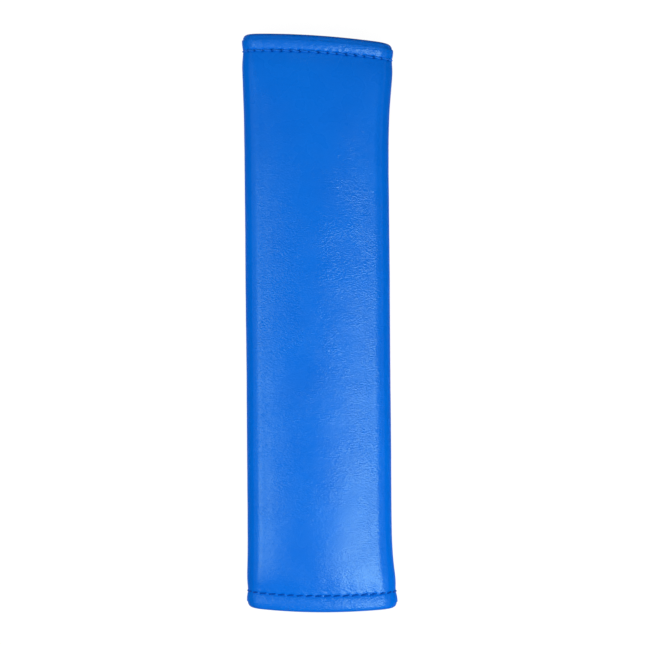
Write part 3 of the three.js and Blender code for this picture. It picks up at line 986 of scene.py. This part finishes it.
def make_camera():
    """Straight above the pad, framed as the photograph is."""
    low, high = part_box("leather_cover")
    metres_a_pixel = (high.y - low.y) / PHOTO_PAD_LENGTH
    level = high.z / 2
    frame_width = PHOTO_SIZE * metres_a_pixel
    data = bpy.data.cameras.new("camera")
    data.sensor_width = SENSOR
    data.lens = SENSOR * (CAMERA_HEIGHT - level) / frame_width
    camera = bpy.data.objects.new("camera", data)
    off_x, off_y = [(PHOTO_SIZE / 2 - at) * metres_a_pixel for at in PHOTO_PAD_MIDDLE]
    turn = math.radians(PHOTO_TILT)
    middle = (low + high) / 2
    camera.location = (
        middle.x + off_x * math.cos(turn) + off_y * math.sin(turn),
        middle.y + off_x * math.sin(turn) - off_y * math.cos(turn),
        CAMERA_HEIGHT,
    )
    camera.rotation_euler = (0, 0, turn)
    bpy.context.scene.collection.objects.link(camera)
    bpy.context.scene.camera = camera


def softbox(name, middle, size, power, mirrored=True, turn=0.0):
    """A rectangular lamp aimed at the pad's middle. size is (along X, along Y), turn is about its aim.

    A fill is not mirrored: it lights the leather and leaves no highlight of its own."""
    data = bpy.data.lights.new(name, "AREA")
    data.shape = "RECTANGLE"
    data.size, data.size_y = size
    data.energy = power
    lamp = bpy.data.objects.new(name, data)
    lamp.location = middle
    x, y, z = middle
    aim = Euler((math.atan2(-y, math.hypot(x, z)), math.atan2(x, z), 0)).to_matrix()
    lamp.rotation_euler = (aim @ Matrix.Rotation(math.radians(turn), 3, "Z")).to_euler()
    lamp.visible_camera = False
    lamp.visible_glossy = mirrored
    bpy.context.scene.collection.objects.link(lamp)


def make_lamps():
    softbox("right_softbox", (0.24, -0.25, 0.55), (0.30, 0.38), 2.75, turn=27.0)
    softbox("left_softbox", (-0.36, -0.10, 0.48), (0.36, 0.23), 0.95)
    softbox("left_key", (-0.36, -0.10, 0.48), (0.36, 0.23), 0.7, mirrored=False)
    softbox("far_fill", (0.0, 0.48, 0.60), (0.30, 0.20), 0.78, mirrored=False)
    softbox("right_fill", (0.50, -0.30, 0.20), (0.30, 0.40), 1.2, mirrored=False)
    softbox("left_fill", (-0.52, 0.05, 0.20), (0.30, 0.40), 0.65, mirrored=False)


def background_rays(tree):
    """1 for the rays that see the white background: the camera's and mirrored ones."""
    rays = add_node(tree, "LightPath").outputs
    mirrored_rays = math_node(tree, "MAXIMUM", rays["Is Glossy Ray"], rays["Is Transmission Ray"])
    return rays["Is Camera Ray"], mirrored_rays


def make_world():
    """A white backdrop round a dim studio. Mirrored rays see it white only near the horizon."""
    world = bpy.data.worlds.new("studio")
    world.use_nodes = True
    bpy.context.scene.world = world
    tree = world.node_tree
    ground = tree.nodes["Background"]
    camera_rays, mirrored_rays = background_rays(tree)
    way = add_node(tree, "SeparateXYZ", {0: add_node(tree, "TexCoord").outputs["Generated"]})
    horizon = ranged(tree, way.outputs["Z"], 0.25, 0.05)
    shown = math_node(tree, "MAXIMUM", camera_rays, math_node(tree, "MULTIPLY", mirrored_rays, horizon))
    tree.links.new(ranged(tree, shown, 0, 1, STUDIO_LIGHT, 1.0), ground.inputs["Strength"])
    ground.inputs["Color"].default_value = (1, 1, 1, 1)


def make_floor():
    """A plain white floor, lifted towards white where it is seen. It keeps the pad's soft shadow."""
    half = FLOOR_HALF
    level = -FLOOR_DROP * MM
    mesh = bpy.data.meshes.new("floor")
    corners = [(-half, -half, level), (half, -half, level), (half, half, level), (-half, half, level)]
    mesh.from_pydata(corners, [], [(0, 1, 2, 3)])
    made, tree, shader = new_material("white_floor")
    shader.inputs["Base Color"].default_value = (0.5, 0.5, 0.5, 1)
    shader.inputs["Roughness"].default_value = 0.9
    shader.inputs["Specular IOR Level"].default_value = 0.0
    seen = math_node(tree, "MAXIMUM", *background_rays(tree))
    white = add_node(tree, "Emission", {"Color": (1, 1, 1, 1), "Strength": FLOOR_GLOW})
    lift = math_node(tree, "MULTIPLY", seen, FLOOR_LIFT)
    mixed = add_node(tree, "MixShader", {0: lift, 1: shader.outputs[0], 2: white.outputs[0]})
    tree.links.new(mixed.outputs[0], tree.nodes["Material Output"].inputs["Surface"])
    mesh.materials.append(made)
    floor = bpy.data.objects.new("floor", mesh)
    bpy.context.scene.collection.objects.link(floor)


def main():
    make_camera()
    make_world()
    make_floor()
    make_lamps()
    leather = leather_material()
    thread = thread_material("blue_thread", (0.0, 0.11, 0.55), (0.02, 0.22, 0.80))
    # The bottom seam's thread is a darker copy of the same blue thread: painted shade on its stitches.
    shaded_thread = thread_material("painted_shade_blue_thread", (0.0, 0.04, 0.28), (0.0, 0.08, 0.46))
    cover = make_cover(leather, backing_material())
    make_foam(foam_material())
    make_lining(knit_material())
    sewn = [
        make_hem_thread("top_hem_stitches", "top_hem_thread", 1, thread),
        make_hem_thread("bottom_hem_stitches", "bottom_hem_thread", -1, shaded_thread),
    ]
    inner_face = INNER_FLAP_Z + FLAP_THICKNESS
    loop_faces = [(OUTER_ROW_Z, -1), (LOOP_TAPE_Z + TAPE_BASE, 1)]
    hook_faces = [(inner_face, 1), (HOOK_TAPE_Z - TAPE_BASE, -1)]
    for side, x in (("left", -TAPE_ROW_X), ("right", TAPE_ROW_X)):
        make_tape_thread(f"loop_tape_{side}_stitches", f"loop_tape_{side}_thread", x, loop_faces, thread)
        make_tape_thread(f"hook_tape_{side}_stitches", f"hook_tape_{side}_thread", x, hook_faces, thread)
    loops = tape_material("black_loops", 0.8)
    hooks = tape_material("black_hooks", 0.55)
    make_tape("loop_strip", "loop_tape", LOOP_TAPE_Z, 1, loop_lines, LOOP_WIRE, loops)
    make_tape("hook_strip", "hook_tape", HOOK_TAPE_Z, -1, hook_lines, HOOK_WIRE, hooks)

    view = bpy.context.scene.view_settings
    view.view_transform = "Standard"


main()
